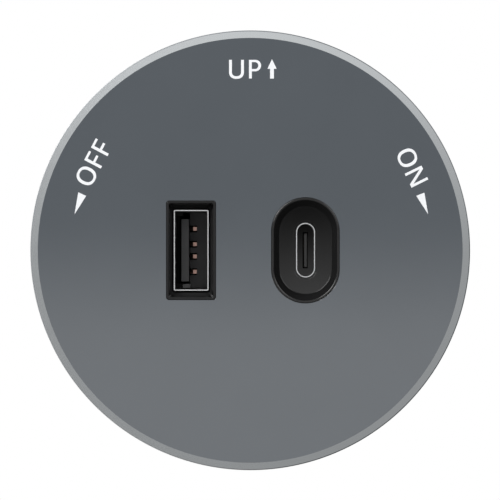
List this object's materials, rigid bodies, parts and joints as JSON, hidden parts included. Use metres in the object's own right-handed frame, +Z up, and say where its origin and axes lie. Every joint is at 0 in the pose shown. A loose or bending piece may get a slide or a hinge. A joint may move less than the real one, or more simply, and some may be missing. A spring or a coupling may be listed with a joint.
{
  "type": "power track usb socket",
  "caption": "Round twist-lock adaptor that keys into a power track slot and charges through a recessed type A and a type C USB port.",
  "frame": {"origin": "on the twist axis, in the plane where the seat bears on the face of the track", "axes": "+Y into the track along the twist axis, -Y out of the face, +Z up as the arrow on the face points, +X to the right seen from the front; at rest the cross arm lies along X, in line with a horizontal slot"},
  "size_m": [0.0714, 0.0453, 0.0714],
  "materials": {
    "adhesive": "double-sided film",
    "board_laminate": "solder mask on glass laminate",
    "bobbin_plastic": "phenolic",
    "capacitor_sleeve": "shrink sleeve on an aluminium can",
    "chip_plastic": "moulded epoxy",
    "contact_copper": "copper alloy",
    "contact_gold": "gold plated",
    "disc_blue": "dipped lacquer",
    "enamelled_wire": "enamelled copper",
    "face_plate": "dark grey anodised, bright-cut chamfer",
    "ferrite": "sintered ferrite",
    "film_case": "box film capacitor",
    "fuse_case": "moulded",
    "inductor_case": "sintered composite",
    "insert_plastic": "moulded, satin black",
    "lead_blue": "insulated lead",
    "lead_brown": "insulated lead",
    "lead_green": "insulated lead",
    "neck_plastic": "glass-filled nylon, satin",
    "port_plastic": "moulded black",
    "port_steel": "bright nickel plated",
    "screw_steel": "zinc plated",
    "seat_plastic": "moulded, satin",
    "shell_plastic": "moulded, fine texture",
    "shoe_copper": "copper, worn bright",
    "spring_steel": "spring steel",
    "strip_copper": "copper strip",
    "terminal_brass": "tinned brass",
    "winding_tape": "polyester tape"
  },
  "bodies": {
    "seat": {"track_seat": "seat_plastic", "seat_clip": "spring_steel", "spring_washer": "spring_steel"},
    "housing": {"face_plate": "face_plate", "face_adhesive": "adhesive", "front_shell": "shell_plastic", "rear_shell": "shell_plastic", "housing_screws": "screw_steel", "usb_a_frame": "insert_plastic", "usb_a_shell": "port_steel", "usb_a_insulator": "port_plastic", "usb_a_contacts": "contact_copper", "usb_c_frame": "insert_plastic", "usb_c_shell": "port_steel", "usb_c_insulator": "port_plastic", "usb_c_contacts": "contact_gold", "main_board": "board_laminate", "board_screws": "screw_steel", "transformer_core": "ferrite", "transformer_bobbin": "bobbin_plastic", "transformer_winding": "winding_tape", "bulk_capacitors": "capacitor_sleeve", "x_capacitor": "film_case", "y_capacitor": "disc_blue", "choke_core": "ferrite", "choke_winding": "enamelled_wire", "fuse": "fuse_case", "varistor": "disc_blue", "bridge_rectifier": "chip_plastic", "output_capacitors": "capacitor_sleeve", "output_inductor": "inductor_case", "controller_chips": "chip_plastic", "terminals": "terminal_brass", "live_lead": "lead_brown", "neutral_lead": "lead_blue", "earth_lead": "lead_green", "neck": "neck_plastic", "neck_cover": "neck_plastic", "neck_screws": "screw_steel", "live_strip": "strip_copper", "neutral_strip": "strip_copper", "earth_contact": "strip_copper", "live_spring": "spring_steel", "neutral_spring": "spring_steel"},
    "live_contact": {"live_shoe": "shoe_copper"},
    "neutral_contact": {"neutral_shoe": "shoe_copper"}
  },
  "joints": [
    {"name": "twist", "type": "hinge", "parent": "seat", "child": "housing", "pos_m": [0, 0, 0], "axis": [0, 1, 0], "range_deg": [0, 90]},
    {"name": "live_press", "type": "slide", "parent": "housing", "child": "live_contact", "axis": [-1, 0, 0], "range_m": [0, 0.0012], "stiffness_N_per_m": 1000, "springref_m": -0.0008, "deforming": ["live_spring"]},
    {"name": "neutral_press", "type": "slide", "parent": "housing", "child": "neutral_contact", "axis": [1, 0, 0], "range_m": [0, 0.0012], "stiffness_N_per_m": 1000, "springref_m": -0.0008, "deforming": ["neutral_spring"]}
  ]
}
